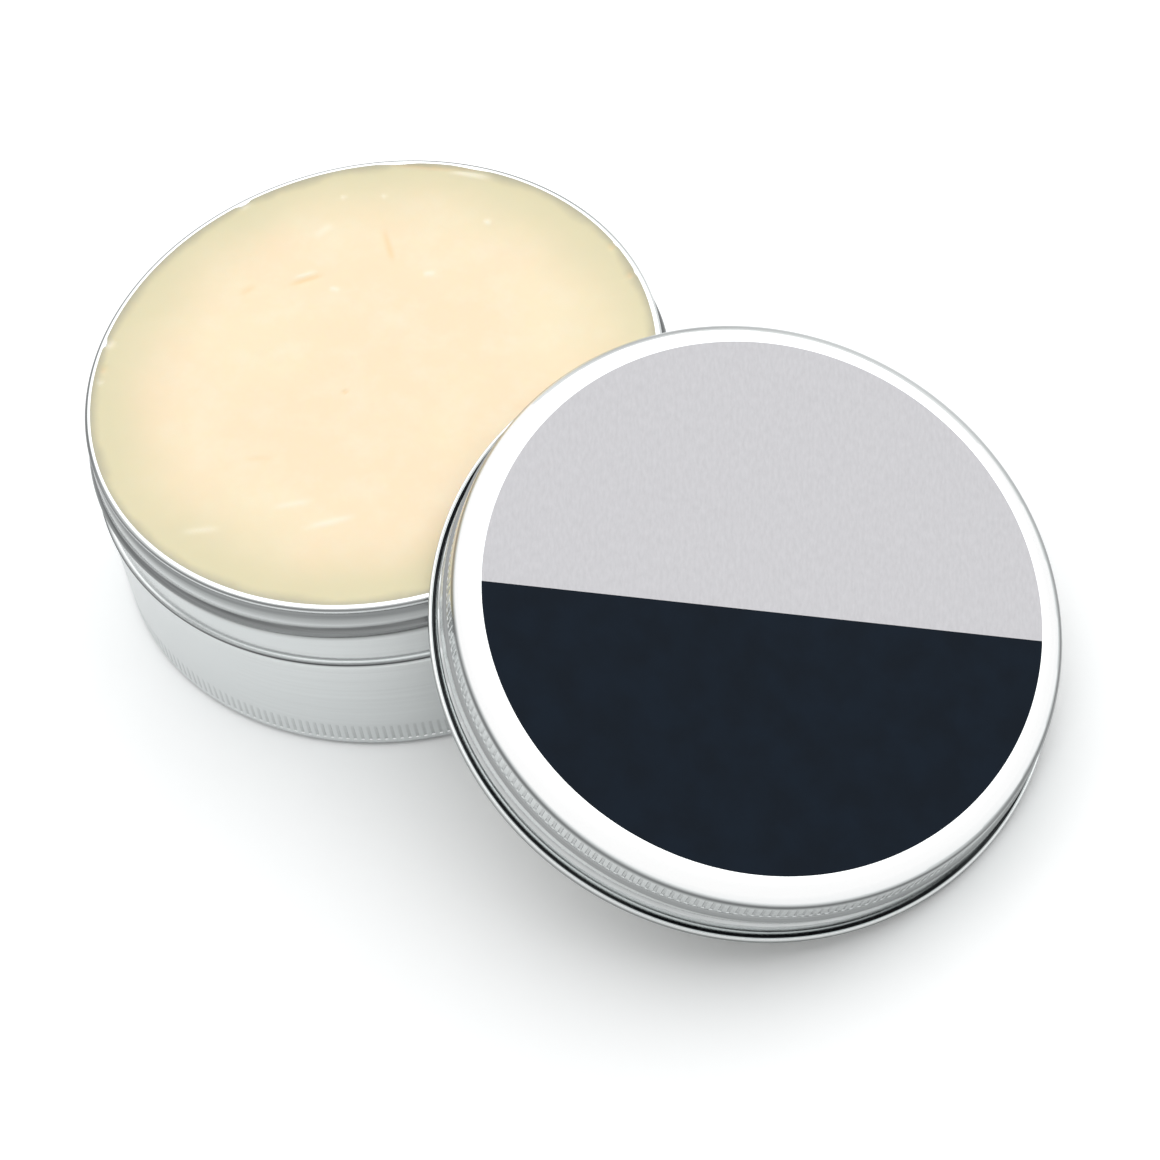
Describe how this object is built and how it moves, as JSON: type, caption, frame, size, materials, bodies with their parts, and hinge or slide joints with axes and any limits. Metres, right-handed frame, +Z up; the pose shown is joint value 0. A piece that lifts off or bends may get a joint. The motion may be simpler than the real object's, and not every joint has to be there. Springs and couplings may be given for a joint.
{
  "type": "shoe polish tin",
  "caption": "Round screw-top aluminium tin filled to the rim with cream leather wax, its labelled lid off and leaning on the rim.",
  "frame": {"origin": "centre of the tin's underside, on the surface it stands on", "axes": "+Z up along the tin's axis; +X from the tin towards the foot of the leaning lid; X-Z is the plane of the lean"},
  "size_m": [0.1267, 0.074, 0.0386],
  "materials": {
    "aluminium": "satin",
    "cream_wax": "satin",
    "white_foam": "matte",
    "printed_paper": "satin"
  },
  "bodies": {
    "tin": {"tin_base": "aluminium", "polish_wax": "cream_wax"},
    "liner": {"lid_liner": "white_foam"},
    "lid": {"lid": "aluminium", "lid_label": "printed_paper"}
  },
  "joints": [
    {"name": "lid_lift", "type": "slide", "parent": "tin", "child": "liner", "axis": [0, 0, 1], "range_m": [0, 0.05]},
    {"name": "lid_turn", "type": "hinge", "parent": "liner", "child": "lid", "pos_m": [0.05938, 0, 0.02501], "axis": [0.4054, 0, 0.9141], "continuous": true}
  ]
}
